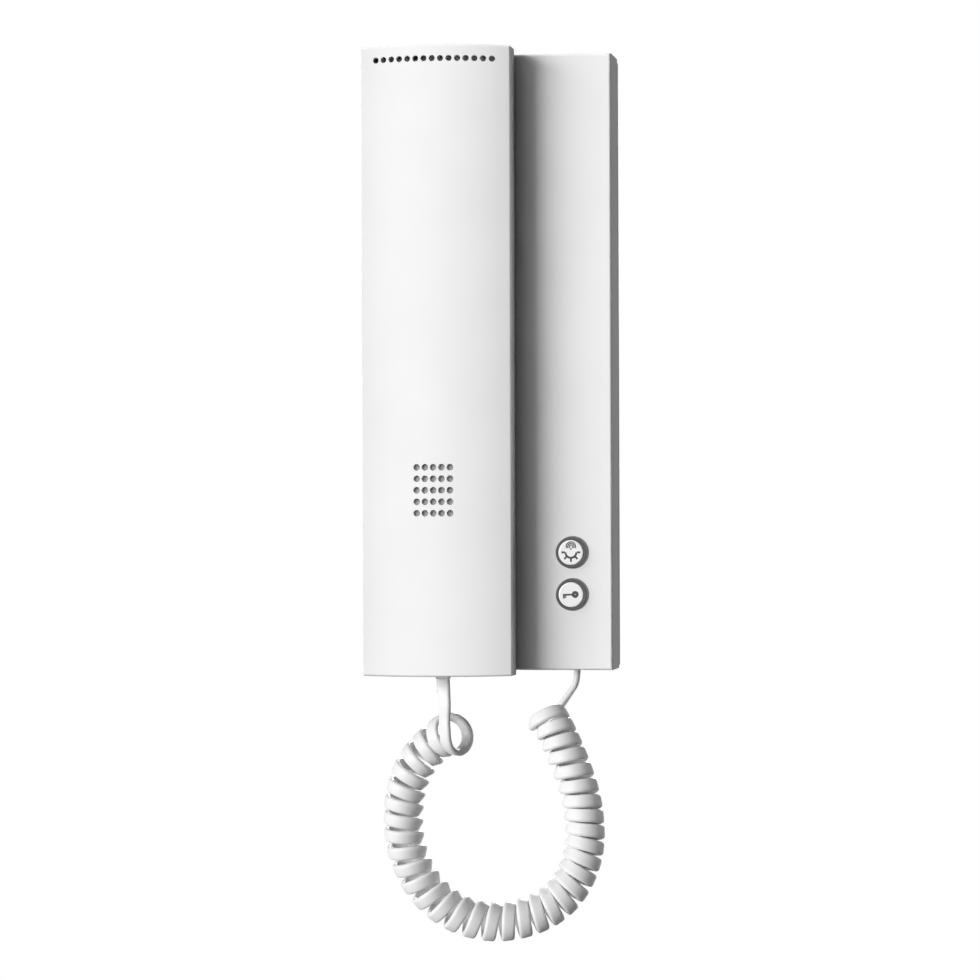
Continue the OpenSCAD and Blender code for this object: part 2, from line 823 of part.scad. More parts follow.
// Outer body of the handset: flat sides, crowned front, rounded edges
module handset_outline() {
  r = handset_edge_r;
  fx = handset_half - r;
  fd = crown_axis_d + sqrt(pow(crown_r - r, 2) - pow(fx, 2));
  tx = fx * crown_r / (crown_r - r);
  intersection() {
    translate([0, crown_axis_d]) circle(crown_r, $fn = 360);
    translate([-tx, handset_d0]) square([2 * tx, crown_d - handset_d0 + over]);
  }
  translate([-handset_half, handset_d0]) square([handset_w, fd - handset_d0]);
  for (x = [-fx, fx]) translate([x, fd]) circle(r);
}

module handset_body() {
  r = handset_edge_r;
  translate([handset_x, 0, 0]) intersection() {
    upright(handset_bot, handset_top) handset_outline();
    translate([0, -crown_axis_d, 0]) rotate_extrude($fn = 360) {
      translate([0, handset_bot]) square([crown_r - r, handset_l]);
      translate([0, handset_bot + r]) square([crown_r, handset_l - 2 * r]);
      for (z = [handset_bot + r, handset_top - r]) translate([crown_r - r, z]) circle(r);
    }
  }
}

// Box inside the handset, grown sideways by the given amount
module handset_inside(grow, d0, d1) {
  block(handset_x - inner_half - grow, handset_x + inner_half + grow, d0, d1,
    inner_bot - grow, inner_top + grow);
}

module handset_opening() {
  plug_opening(handset_jack_x, handset_jack_d, plug_w, plug_t, handset_bot, handset_wall);
}

module handset_front() {
  color("white") difference() {
    union() {
      difference() {
        intersection() {
          handset_body();
          handset_inside(handset_wall + over, part_d + part_groove / 2, crown_d + over);
        }
        upright(inner_bot, inner_top) intersection() {
          translate([handset_x, crown_axis_d]) circle(crown_r - handset_wall, $fn = 360);
          translate([handset_x - inner_half, 0]) square([2 * inner_half, crown_d]);
        }
        handset_inside(lip_t + lip_gap, 0, part_d + lip_h + lip_gap);
      }
      for (z = handset_screw_zs) peg(handset_x, z, boss_r, part_d + seat_gap, crown_d - handset_wall / 2);
      difference() {
        block(handset_x - felt_half - felt_rib, handset_x + felt_half + felt_rib, crown_d - felt_rib_h,
          felt_edge_d + handset_wall / 2, felt_z0 - felt_rib, felt_z1 + felt_rib);
        block(handset_x - felt_half, handset_x + felt_half, 0, crown_d, felt_z0, felt_z1);
      }
    }
    for (z = handset_screw_zs) peg(handset_x, z, screw_d / 2 + fit_gap, 0, part_d + screw_bite + tip_gap);
    for (i = [0 : row_count - 1])
      peg(handset_x + (i - (row_count - 1) / 2) * hole_pitch, handset_top - row_drop, row_hole_d / 2,
        hole_start_d, crown_d + over);
    for (i = [0 : field_count - 1], k = [0 : field_count - 1])
      peg(handset_x + (i - (field_count - 1) / 2) * hole_pitch,
        field_z + (k - (field_count - 1) / 2) * field_pitch, field_hole_d / 2, hole_start_d,
        crown_d + over);
    handset_opening();
  }
}

module handset_rear() {
  color("whitesmoke") difference() {
    union() {
      difference() {
        intersection() {
          handset_body();
          handset_inside(handset_wall + over, handset_d0 - over, part_d - part_groove / 2);
        }
        handset_inside(0, floor_d, crown_d);
      }
      difference() {
        handset_inside(lip_t, floor_d, part_d + lip_h);
        handset_inside(0, 0, crown_d);
      }
      for (z = handset_screw_zs) peg(handset_x, z, boss_r, floor_d - sink, part_d);
      locating_ring(ear_z, ear_r);
      locating_ring(mic_z, mic_r + boot_t);
    }
    for (z = handset_screw_zs) {
      peg(handset_x, z, screw_d / 2 + seat_gap, 0, crown_d);
      peg(handset_x, z, screw_head_d / 2 + seat_gap, 0, head_seat_d);
    }
    peg(handset_x, ear_z, ear_hole_r, 0, floor_d + over);
    for (n = [1, 2], i = [0 : 6 * n - 1])
      peg(handset_x + n * ear_pitch * cos(60 / n * i), ear_z + n * ear_pitch * sin(60 / n * i), ear_hole_r,
        0, floor_d + over);
    for (i = [-1 : 1]) peg(handset_x + i * hole_pitch, mic_z, mic_hole_r, 0, floor_d + over);
    hook(hook_clear, handset_d0 - over, floor_d + over);
    handset_opening();
  }
}

module locating_ring(z, r) {
  difference() {
    peg(handset_x, z, r + seat_gap + ring_wall, floor_d - sink, floor_d + ring_rise);
    peg(handset_x, z, r + seat_gap, floor_d, floor_d + ring_rise + over);
  }
}

module handset_screws() {
  color("gray") for (z = handset_screw_zs) translate([0, -2 * head_seat_d, 0]) mirror([0, 1, 0])
    pan_screw(handset_x, z, head_seat_d, part_d + screw_bite - head_seat_d);
}

// Earpiece, microphone and the felt behind the hole field
module earpiece_gasket() {
  color("black") difference() {
    peg(handset_x, ear_z, ear_r, floor_d, frame_d0);
    peg(handset_x, ear_z, ear_cone_r, floor_d - over, frame_d0 + over);
  }
}

module earpiece_frame() {
  color("dimgray") revolve(handset_x, ear_z, frame_d0) polygon([
    [ear_cone_r, 0], [ear_r, 0], [ear_r, ear_rim_t], [ear_magnet_r + ear_seat, ear_frame_h - ear_rim_t],
    [ear_magnet_r + ear_seat, ear_frame_h], [ear_throat_r, ear_frame_h],
    [ear_throat_r, ear_frame_h - ear_rim_t], [ear_cone_r, ear_rim_t]
  ]);
}

module earpiece_cone() {
  color("linen") revolve(handset_x, ear_z, frame_d0) polygon([
    [0, cone_h / 3], [ear_throat_r - cone_neck, cone_h / 3], [ear_throat_r + cone_neck, cone_h - cone_t],
    [ear_cone_r - cone_roll, cone_lift], [ear_cone_r - seat_gap / 2, 0],
    [ear_cone_r - seat_gap / 2, cone_t], [ear_cone_r - cone_roll, cone_t + cone_lift],
    [ear_throat_r + cone_neck, cone_h], [ear_throat_r - cone_neck, cone_h + cone_t], [0, cone_h]
  ]);
}

module earpiece_magnet() {
  h = ear_magnet_h;
  color("lightgray") revolve(handset_x, ear_z, frame_d0 + ear_frame_h) polygon([
    [0, 0], [ear_magnet_r, 0], [ear_magnet_r, h - magnet_edge], [ear_magnet_r - magnet_edge, h], [0, h]
  ]);
}

module microphone() {
  color("lightgray") revolve(handset_x, mic_z, floor_d + boot_t) polygon([
    [0, 0], [mic_r - mic_edge, 0], [mic_r, mic_edge], [mic_r, mic_l], [0, mic_l]
  ]);
}

module microphone_boot() {
  color("black") difference() {
    peg(handset_x, mic_z, mic_r + boot_t, floor_d, floor_d + boot_t + mic_l - boot_short);
    peg(handset_x, mic_z, mic_r + fit_gap, floor_d + boot_t, floor_d + boot_t + mic_l);
    peg(handset_x, mic_z, mic_r - mic_lip, floor_d - over, floor_d + boot_t + over);
  }
}

module speech_felt() {
  color("gray") upright(felt_z0 + seat_gap, felt_z1 - seat_gap) intersection() {
    difference() {
      translate([handset_x, crown_axis_d]) circle(crown_r - handset_wall - fit_gap, $fn = 360);
      translate([handset_x, crown_axis_d]) circle(crown_r - handset_wall - fit_gap - felt_t, $fn = 360);
    }
    translate([handset_x - felt_half + seat_gap, crown_axis_d])
      square([2 * (felt_half - seat_gap), crown_r]);
  }
}

// Smooth curve through a list of points, u counted in points
function unit(v) = v / norm(v);
function point_at(p, i) =
  i < 0 ? 2 * p[0] - p[1] : i >= len(p) ? 2 * p[len(p) - 1] - p[len(p) - 2] : p[i];
function blend4(a, b, c, d, t) =
  ((2 * b) + (c - a) * t + (2 * a - 5 * b + 4 * c - d) * t * t + (3 * b - a - 3 * c + d) * t * t * t) / 2;
function curve_at(p, u) =
  let (i = min(floor(u), len(p) - 2))
  blend4(point_at(p, i - 1), p[i], p[i + 1], point_at(p, i + 2), u - i);
function curve_dir(p, u) =
  unit(curve_at(p, min(u + small_step, len(p) - 1)) - curve_at(p, max(u - small_step, 0)));

// Curls: q counts the turns from the handset end
function ease(t) = t * t * (3 - 2 * t);
function pulled(q) = q + pull * ease(max(0, min(1, (q - pull_from) / pull_over)));
function curl_u(q) = (len(curl_route) - 1) * pulled(q) / pulled(curl_turns);
function curl_angle(q) = -90 - 360 * q;
function curl_radius(q) =
  curl_r + flare_start * max(0, 1 - q / flare_start_turns) + flare_end * pow(max(0, 1 - curl_turns + q), 2);
function curl_out(q) =
  let (t = curve_dir(curl_route, curl_u(q)), n = unit(cross([0, 1, 0], t)))
  cos(curl_angle(q)) * n + sin(curl_angle(q)) * cross(t, n);
function curl_point(q) = curve_at(curl_route, curl_u(q)) + curl_radius(q) * curl_out(q);
function curl_dir(q) =
  unit(curl_point(min(q + small_step, curl_turns)) - curl_point(max(q - small_step, 0)));
function curl_width(q) =
  let (t = curl_dir(q), w = unit(cross(curl_out(q), t)), r = cross(t, w))
  let (on_edge = edge_turn * max(0, 1 - (curl_turns - q) / edge_share))
  let (lean = curl_lean * min(q, 1) * (1 - cos(curl_angle(q))) / 2 + on_edge)
  cos(lean) * w + sin(lean) * r;

// Flat section of the cord at a point, from its direction and the direction of its width
function six_sided(c, t, w) =
  let (a = cord_w / 2 * w, b = cord_t / 2 * cross(t, w))
  [c + a, c + curl_flat * a + b, c - curl_flat * a + b,
    c - a, c - curl_flat * a - b, c + curl_flat * a - b];
function eight_sided(c, t, w) =
  let (a = cord_w / 2 * w, b = cord_t / 2 * cross(t, w), f = lead_flat, g = lead_side)
  [c + a + g * b, c + f * a + b, c - f * a + b, c - a + g * b,
    c - a - g * b, c - f * a - b, c + f * a - b, c + a - g * b];

function curl_ring(q, shift) = six_sided(curl_point(q) + shift * curl_dir(q), curl_dir(q), curl_width(q));
curl_sections = [
  curl_ring(0, -cord_w),
  for (k = [0 : curl_turns * curl_rings]) curl_ring(k / curl_rings, 0),
  curl_ring(curl_turns, cord_w)
];

// Distance from a point to an edge, and the least gap between one turn and the next
function edge_gap(p, a, b) =
  let (t = max(0, min(1, (p - a) * (b - a) / ((b - a) * (b - a))))) norm(p - a - t * (b - a));
function ring_gap(r1, r2) =
  min([for (p = r1, i = [0 : len(r2) - 1]) edge_gap(p, r2[i], r2[(i + 1) % len(r2)])]);
function least_gap(rings, turn) =
  min([for (k = [0 : len(rings) - 1 - turn], e = [turn - 1 : turn + 1])
    if (k + e < len(rings)) min(ring_gap(rings[k], rings[k + e]), ring_gap(rings[k + e], rings[k]))]);

module curly_cord() {
  echo(str("least gap between the curls: ", least_gap(curl_sections, curl_rings), " mm"));
  color("gainsboro") tube(curl_sections);
}

// Free stretches at the two ends of the cord
function turn_width(w0, w1, share, t) =
  let (w = (1 - share) * w0 + share * w1) unit(w - (w * t) * t);
function lead_ring(route, u, t, w0, w1, share) =
  eight_sided(curve_at(route, u), t, turn_width(w0, w1, share, t));
function lead_sections(route, t0, t1, w0, w1, spread) = [
  for (k = [0 : lead_rings])
    let (u = (len(route) - 1) * k / lead_rings)
    let (t = k == 0 ? t0 : k == lead_rings ? t1 : curve_dir(route, u))
    lead_ring(route, u, t, w0, w1, min(1, k / lead_rings / spread))
];

module handset_lead() {
  start = [handset_jack_x, -handset_jack_d, handset_tail_z];
  end = curl_point(0) - cord_w * curl_dir(0);
  route = concat([start], handset_lead_points, [end]);
  w = curl_width(0);
  color("gainsboro") tube(lead_sections(route, [0, 0, -1], curl_dir(0), [1, 0, 0], w.x > 0 ? w : -w, 1));
}

module base_lead() {
  start = curl_point(curl_turns) + cord_w * curl_dir(curl_turns);
  end = [base_jack_x, -base_jack_d, base_tail_z];
  route = concat([start], base_lead_points, [end]);
  w = curl_width(curl_turns);
  color("gainsboro")
    tube(lead_sections(route, curl_dir(curl_turns), [0, 0, 1], w, [0, sign(w.y), 0], 0.6));
}

wall_plate();
base_housing();
housing_screw();
main_board();
board_screws();
terminal_block();
terminal_screws();
control_chip();
capacitors();
bus_choke();
call_sounder();
base_jack();
base_plug();
light_ring();
door_ring();
light_button();
door_button();
light_dome();
door_dome();
hook_plunger();
hook_spring();
hook_switch();
handset_front();
handset_rear();
handset_screws();
earpiece_frame();
earpiece_cone();
earpiece_magnet();
earpiece_gasket();
microphone();
microphone_boot();
speech_felt();
handset_jack();
handset_plug();
handset_lead();
curly_cord();
base_lead();
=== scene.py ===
"""Looks of the wall-mounted audio intercom: camera, cord, signs, materials and light, in metres."""

import json
import math

import bpy
import numpy as np
from mathutils import Matrix, Vector


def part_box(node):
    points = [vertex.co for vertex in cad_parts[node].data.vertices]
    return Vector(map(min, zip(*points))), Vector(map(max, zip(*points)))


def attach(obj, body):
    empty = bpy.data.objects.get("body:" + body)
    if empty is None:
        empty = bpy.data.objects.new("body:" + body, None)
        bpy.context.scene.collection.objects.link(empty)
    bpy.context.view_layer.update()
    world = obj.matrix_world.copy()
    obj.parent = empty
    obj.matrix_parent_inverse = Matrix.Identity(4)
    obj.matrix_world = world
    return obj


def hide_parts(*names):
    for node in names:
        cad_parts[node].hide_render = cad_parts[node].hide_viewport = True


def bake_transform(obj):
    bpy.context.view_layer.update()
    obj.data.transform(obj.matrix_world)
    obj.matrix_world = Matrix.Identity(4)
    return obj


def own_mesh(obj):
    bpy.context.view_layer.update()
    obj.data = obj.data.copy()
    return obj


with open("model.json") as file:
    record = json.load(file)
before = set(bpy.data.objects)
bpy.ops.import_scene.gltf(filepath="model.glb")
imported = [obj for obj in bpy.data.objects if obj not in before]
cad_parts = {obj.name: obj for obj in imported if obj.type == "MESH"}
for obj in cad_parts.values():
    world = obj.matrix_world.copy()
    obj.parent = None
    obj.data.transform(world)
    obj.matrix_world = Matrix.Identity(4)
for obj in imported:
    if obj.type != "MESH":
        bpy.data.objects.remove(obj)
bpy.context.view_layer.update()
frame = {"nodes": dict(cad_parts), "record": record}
scene = bpy.context.scene
MM = 0.001

# Camera, fitted to the photograph
IMAGE_PX = 980
FOCAL_PX = 4130.1
SENSOR_MM = 36.0
CAMERA_AT = Vector((0.17536, -1.40814, -0.04766))
CAMERA_LOOKS_AT = Vector((0.00087, -0.03, -0.04313))
CAMERA_ROLL_DEG = -0.197
CLIP_START = 0.05
CLIP_END = 20

# Cord, with the size, winding and route of the part's source
CORD_WIDTH = 4.5 * MM
CORD_THICK = 2.0 * MM
CURL_RADIUS = 5.4 * MM
CURL_TURNS = 34.5
CURL_LEAN_DEG = 31
PULL = 1.4
PULL_FROM = 0.35
PULL_OVER = 0.75
FLARE_START = 1.2 * MM
FLARE_START_TURNS = 1.5
FLARE_END = 1.2 * MM
EDGE_TURN_DEG = 75
EDGE_SHARE = 0.25
CURL_ROUTE_MM = [
    (-10.2, -28.6, -125.1), (-14.9, -25.2, -125.6), (-20.4, -24, -129.4), (-26, -23.6, -136.2),
    (-29.1, -23.4, -144.2), (-30.1, -23.3, -152), (-29.9, -23.2, -160.1), (-27.8, -23.1, -168.5),
    (-23.6, -23, -176.4), (-17.3, -22.9, -183), (-9.5, -22.8, -187.3), (-0.6, -22.7, -189.2),
    (8.1, -22.6, -188.6), (16, -22.5, -186), (22.6, -22.4, -181.8), (27.5, -22.3, -175.9),
    (30.6, -22.2, -168.9), (32, -22.1, -161.6), (31.8, -22, -154.1), (30.6, -21.9, -146.6),
    (28.2, -21.8, -138.7), (25.1, -21.6, -130.9), (21.8, -20.9, -124), (18.2, -19.4, -118.2),
]
HANDSET_EXIT_MM = (-15, -31.9, -106.4)
HANDSET_LEAD_MM = [(-14.8, -32, -110.6), (-14.4, -32.4, -115.6)]
BASE_LEAD_MM = [(25.9, -13.8, -112), (28.2, -15.3, -108.3)]
BASE_EXIT_MM = (28.9, -16.1, -102)
HANDSET_LEAD_TWIST_SHARE = 1.0
BASE_LEAD_TWIST_SHARE = 0.6
RINGS_PER_TURN = 28
RINGS_PER_LEAD = 24
SECTION_POINTS = 16
RIGHT, DEEP, UP = np.eye(3)


def unit(v):
    return v / np.linalg.norm(v)


def curve_at(points, u):
    """Point of the smooth curve through the points; u counts points."""
    i = int(min(max(math.floor(u), 0), len(points) - 2))
    t = u - i
    b, c = points[i], points[i + 1]
    a = points[i - 1] if i > 0 else 2 * b - c
    d = points[i + 2] if i + 2 < len(points) else 2 * c - b
    return (2 * b + (c - a) * t + (2 * a - 5 * b + 4 * c - d) * t**2 + (3 * b - a - 3 * c + d) * t**3) / 2


def curve_dir(points, u, step=0.01):
    return unit(curve_at(points, min(u + step, len(points) - 1)) - curve_at(points, max(u - step, 0)))


def smooth(t):
    t = min(max(t, 0), 1)
    return t * t * (3 - 2 * t)


CURL_ROUTE = np.array(CURL_ROUTE_MM, float) * MM


def pulled(q):
    return q + PULL * smooth((q - PULL_FROM) / PULL_OVER)


def curl_frame(q):
    """Point on the cord's middle line after q turns, and the way out from the curl's axis."""
    u = (len(CURL_ROUTE) - 1) * pulled(q) / pulled(CURL_TURNS)
    along = curve_dir(CURL_ROUTE, u)
    side = unit(np.cross((0, 1, 0), along))
    angle = math.radians(-90 - 360 * q)
    out = math.cos(angle) * side + math.sin(angle) * np.cross(along, side)
    start, end = max(0, 1 - q / FLARE_START_TURNS), max(0, 1 - CURL_TURNS + q)
    radius = CURL_RADIUS + FLARE_START * start + FLARE_END * end**2
    return curve_at(CURL_ROUTE, u) + radius * out, out, angle


def curl_ring(q, step=0.01):
    """Middle, direction and width direction of the cord after q turns."""
    point, out, angle = curl_frame(q)
    along = unit(curl_frame(min(q + step, CURL_TURNS))[0] - curl_frame(max(q - step, 0))[0])
    wide = unit(np.cross(out, along))
    on_edge = math.radians(EDGE_TURN_DEG) * max(0, 1 - (CURL_TURNS - q) / EDGE_SHARE)
    lean = math.radians(CURL_LEAN_DEG) * min(q, 1) * (1 - math.cos(angle)) / 2 + on_edge
    return point, along, math.cos(lean) * wide + math.sin(lean) * np.cross(along, wide)


def lead_rings(points, first, last, twist_share):
    """Rings of a free stretch between two (direction, width direction) pairs, twisted over a share of it."""
    rings = []
    for k in range(RINGS_PER_LEAD + 1):
        u = (len(points) - 1) * k / RINGS_PER_LEAD
        along = first[0] if k == 0 else last[0] if k == RINGS_PER_LEAD else curve_dir(points, u)
        share = smooth(k / RINGS_PER_LEAD / twist_share)
        wide = (1 - share) * first[1] + share * last[1]
        rings.append((curve_at(points, u), along, unit(wide - (wide @ along) * along)))
    return rings


def cord_rings():
    """All rings of the cord from the handset's plug to the base's."""
    curls = [curl_ring(k / RINGS_PER_TURN) for k in range(int(CURL_TURNS * RINGS_PER_TURN) + 1)]
    point, along, wide = curls[0]
    wide = wide if wide[0] > 0 else -wide
    lead_end = point - CORD_WIDTH * along
    route = np.vstack([np.array([HANDSET_EXIT_MM] + HANDSET_LEAD_MM) * MM, lead_end])
    handset_side = lead_rings(route, (-UP, RIGHT), (along, wide), HANDSET_LEAD_TWIST_SHARE)
    sign = 1 if wide @ curls[0][2] > 0 else -1
    curls = [(p, a, sign * w) for p, a, w in curls]
    point, along, wide = curls[-1]
    lead_start = point + CORD_WIDTH * along
    route = np.vstack([lead_start, np.array(BASE_LEAD_MM + [BASE_EXIT_MM]) * MM])
    deep = DEEP if DEEP @ wide > 0 else -DEEP
    base_side = lead_rings(route, (along, wide), (UP, deep), BASE_LEAD_TWIST_SHARE)
    return handset_side + curls + base_side


def section(k):
    """Point k round the cord's section, a flat band with half-round sides, as (across, through)."""
    half = SECTION_POINTS // 2
    a = math.pi * (k % half) / (half - 1) + (math.pi / 2 if k >= half else -math.pi / 2)
    flat = (CORD_WIDTH - CORD_THICK) / 2
    return (-flat if k >= half else flat) + CORD_THICK / 2 * math.cos(a), CORD_THICK / 2 * math.sin(a)


def new_mesh(name, vertices, faces, smooth_shading=True):
    mesh = bpy.data.meshes.new(name)
    mesh.from_pydata([tuple(v) for v in vertices], [], faces)
    mesh.validate()
    mesh.polygons.foreach_set("use_smooth", [smooth_shading] * len(mesh.polygons))
    mesh.update()
    obj = bpy.data.objects.new(name, mesh)
    scene.collection.objects.link(obj)
    return obj


def make_camera():
    forward = (CAMERA_LOOKS_AT - CAMERA_AT).normalized()
    right = forward.cross(Vector((0, 0, 1))).normalized()
    up = right.cross(forward)
    roll = math.radians(CAMERA_ROLL_DEG)
    turned_right = math.cos(roll) * right + math.sin(roll) * up
    turned_up = -math.sin(roll) * right + math.cos(roll) * up
    data = bpy.data.cameras.new("camera")
    data.sensor_width = SENSOR_MM
    data.lens = FOCAL_PX * SENSOR_MM / IMAGE_PX
    data.clip_start = CLIP_START
    data.clip_end = CLIP_END
    camera = bpy.data.objects.new("camera", data)
    axes = Matrix((turned_right, turned_up, -forward)).transposed()
    camera.matrix_world = Matrix.Translation(CAMERA_AT) @ axes.to_4x4()
    scene.collection.objects.link(camera)
    scene.camera = camera


def make_cord():
    rings = cord_rings()
    shape = [section(k) for k in range(SECTION_POINTS)]
    vertices = []
    for point, along, wide in rings:
        thick = np.cross(along, wide)
        vertices += [point + x * wide + y * thick for x, y in shape]
    n = SECTION_POINTS
    faces = [
        (k * n + i, k * n + (i + 1) % n, (k + 1) * n + (i + 1) % n, (k + 1) * n + i)
        for k in range(len(rings) - 1) for i in range(n)
    ]
    faces.append(tuple(reversed(range(n))))
    faces.append(tuple((len(rings) - 1) * n + i for i in range(n)))
    cord = new_mesh("curly_cord_flat", vertices, faces)
    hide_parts("handset_lead", "curly_cord", "base_lead")
    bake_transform(cord)
    return cord


make_camera()
cord = make_cord()


# Materials: moulded plastics and metals with a fine grain, and matted felts
RAMP_ENDS = (0.3, 0.7)
CLOUDS_PER_M = 45
GRAIN_DETAIL = 3
GRAIN_STRENGTH = 0.35
ROUGH_SPREAD = 0.06
EDGE_SAMPLES = 4
FIBRES_PER_M = 5000
FIBRE_DETAIL = 6
FIBRE_ROUGHNESS = 0.7
FIBRE_DEPTH = 0.1 * MM
FIBRE_DARK = 0.6
FIBRE_LIGHT = 1.4
FELT_ROUGH = 0.95
FELT_SHEEN = 0.3


def new_material(name):
    material = bpy.data.materials.new(name)
    material.use_nodes = True
    nodes = material.node_tree.nodes
    return material, nodes, material.node_tree.links, nodes["Principled BSDF"]


def noise(nodes, links, scale, detail=2.0, roughness=0.5):
    """Noise in the object's own coordinates; scale is in cycles per metre."""
    place = nodes.get("place") or nodes.new("ShaderNodeTexCoord")
    place.name = "place"
    texture = nodes.new("ShaderNodeTexNoise")
    texture.inputs["Scale"].default_value = scale
    texture.inputs["Detail"].default_value = detail
    texture.inputs["Roughness"].default_value = roughness
    links.new(place.outputs["Object"], texture.inputs["Vector"])
    return texture.outputs["Fac"]


def ramp(nodes, links, source, low, high):
    """Colours from low to high over the middle of a noise."""
    node = nodes.new("ShaderNodeValToRGB")
    for element, position, color in zip(node.color_ramp.elements, RAMP_ENDS, (low, high)):
        element.position = position
        element.color = (*color, 1)
    links.new(source, node.inputs["Fac"])
    return node.outputs["Color"]


def spread(nodes, links, source, low, high, start=0.0, end=1.0):
    """Value that goes from low to high while the source goes from start to end."""
    node = nodes.new("ShaderNodeMapRange")
    node.inputs["From Min"].default_value = start
    node.inputs["From Max"].default_value = end
    node.inputs["To Min"].default_value = low
    node.inputs["To Max"].default_value = high
    links.new(source, node.inputs["Value"])
    return node.outputs["Result"]


def moulded(
    name, color, rough, grain_mm=0.35, grain_depth_mm=0.012, vary=0.03, edge_mm=0.25, metallic=0.0, shine=0.5
):
    """Moulded surface: fine spark-eroded grain, faint cloudy colour, softened edges."""
    material, nodes, links, shader = new_material(name)
    low = [c * (1 - vary) for c in color]
    high = [min(1, c * (1 + vary)) for c in color]
    clouds = noise(nodes, links, CLOUDS_PER_M)
    links.new(ramp(nodes, links, clouds, low, high), shader.inputs["Base Color"])
    grain = noise(nodes, links, 1 / (grain_mm * MM), detail=GRAIN_DETAIL)
    uneven = spread(nodes, links, grain, rough - ROUGH_SPREAD, rough + ROUGH_SPREAD)
    links.new(uneven, shader.inputs["Roughness"])
    bump = nodes.new("ShaderNodeBump")
    bump.inputs["Strength"].default_value = GRAIN_STRENGTH
    bump.inputs["Distance"].default_value = grain_depth_mm * MM
    links.new(grain, bump.inputs["Height"])
    if edge_mm:
        edge = nodes.new("ShaderNodeBevel")
        edge.samples = EDGE_SAMPLES
        edge.inputs["Radius"].default_value = edge_mm * MM
        links.new(edge.outputs["Normal"], bump.inputs["Normal"])
    links.new(bump.outputs["Normal"], shader.inputs["Normal"])
    shader.inputs["Metallic"].default_value = metallic
    shader.inputs["Specular IOR Level"].default_value = shine
    return material


def felted(name, color):
    """Matted fibres: strong fine bump and uneven grey."""
    material, nodes, links, shader = new_material(name)
    fibre = noise(nodes, links, FIBRES_PER_M, detail=FIBRE_DETAIL, roughness=FIBRE_ROUGHNESS)
    dark = [c * FIBRE_DARK for c in color]
    light = [c * FIBRE_LIGHT for c in color]
    links.new(ramp(nodes, links, fibre, dark, light), shader.inputs["Base Color"])
    bump = nodes.new("ShaderNodeBump")
    bump.inputs["Distance"].default_value = FIBRE_DEPTH
    links.new(fibre, bump.inputs["Height"])
    links.new(bump.outputs["Normal"], shader.inputs["Normal"])
    shader.inputs["Roughness"].default_value = FELT_ROUGH
    shader.inputs["Sheen Weight"].default_value = FELT_SHEEN
    return material


MOULDED = {
    "shell_white": dict(color=(0.86, 0.86, 0.86), rough=0.52, vary=0.012, shine=0.0),
    "plate_grey": dict(color=(0.14, 0.14, 0.14), rough=0.6, edge_mm=0.1, shine=0.2),
    "ring_dark": dict(color=(0.07, 0.07, 0.07), rough=0.45, edge_mm=0.15),
    "cap_white": dict(color=(0.8, 0.8, 0.8), rough=0.35, vary=0.01, grain_depth_mm=0.006, edge_mm=0.15),
    "cord_pvc": dict(color=(0.82, 0.82, 0.82), rough=0.42, vary=0.02, edge_mm=0, shine=0.25),
    "board_green": dict(color=(0.04, 0.2, 0.09), rough=0.3),
    "terminal_green": dict(color=(0.08, 0.35, 0.16), rough=0.45),
    "steel": dict(color=(0.6, 0.6, 0.6), rough=0.3, metallic=1.0),
    "black_plastic": dict(color=(0.025, 0.025, 0.026), rough=0.45),
    "rubber": dict(color=(0.03, 0.03, 0.03), rough=0.8, shine=0.2),
    "copper_wire": dict(color=(0.6, 0.28, 0.1), rough=0.35, metallic=1.0),
    "plug_clear": dict(color=(0.75, 0.75, 0.74), rough=0.2),
    "can_blue": dict(color=(0.08, 0.1, 0.22), rough=0.3),
}
FELTED = {"felt": (0.3, 0.3, 0.31), "cone_paper": (0.6, 0.57, 0.5)}
MATERIALS = {name: moulded(name, **look) for name, look in MOULDED.items()}
MATERIALS.update({name: felted(name, color) for name, color in FELTED.items()})


def paint(obj, material):
    if obj.material_slots:
        for place in obj.material_slots:
            place.material = material
    else:
        obj.data.materials.append(material)


for part in frame["record"]["subparts"]:
    paint(frame["nodes"][part["node"]], MATERIALS[part["material_slot"]])
paint(cord, MATERIALS["cord_pvc"])


# Signs on the buttons: a lamp and a key, drawn as thin ink, with sizes in millimetres
INK_HEIGHT = 0.03 * MM
ARC_STEPS = 24
SHADE_RADII = (0.5, 1.04, 1.56)
SHADE_LINE = 0.38
SHADE_CENTRE_Z = 2.05
SHADE_FOOT_Z = 1.5
STEM_FOOT_Z = 1.0
STEM_WIDTH = 0.5
BULB_RADIUS = 1.85
BULB_LINE = 0.7
BULB_CENTRE_Z = 0.1
RAY_FROM = 2.0
RAY_TO = 3.2
RAY_WIDTH = 0.65
RAY_STEP_DEG = 45
BOW_CENTRE = (1.4, 0.1)
BOW_RADIUS = 0.66
BOW_LINE = 1.02
SHAFT_FROM = (-2.7, 0)
SHAFT_TO = (0.4, 0.05)
SHAFT_WIDTH = 0.6
BITS = [(-2.4, -1.25, 0.6), (-1.8, -1.05, 0.4)]


def ink(name, outlines, centre, body):
    """Flat closed outlines in millimetres, laid on a button's face and extruded by the ink's height."""
    vertices, faces = [], []
    for outline in outlines:
        first = len(vertices)
        n = len(outline)
        for lift in (0, INK_HEIGHT):
            vertices += [(centre[0] + x * MM, centre[1] - lift, centre[2] + z * MM) for x, z in outline]
        faces.append(tuple(first + n + i for i in range(n)))
        for i in range(first, first + n):
            after = first + (i - first + 1) % n
            faces.append((i, after, n + after, n + i))
    obj = new_mesh(name, vertices, faces, smooth_shading=False)
    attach(obj, body)
    return obj


def arc(radius, start, end, centre):
    angles = [math.radians(start + (end - start) * k / ARC_STEPS) for k in range(ARC_STEPS + 1)]
    return [(centre[0] + radius * math.cos(a), centre[1] + radius * math.sin(a)) for a in angles]


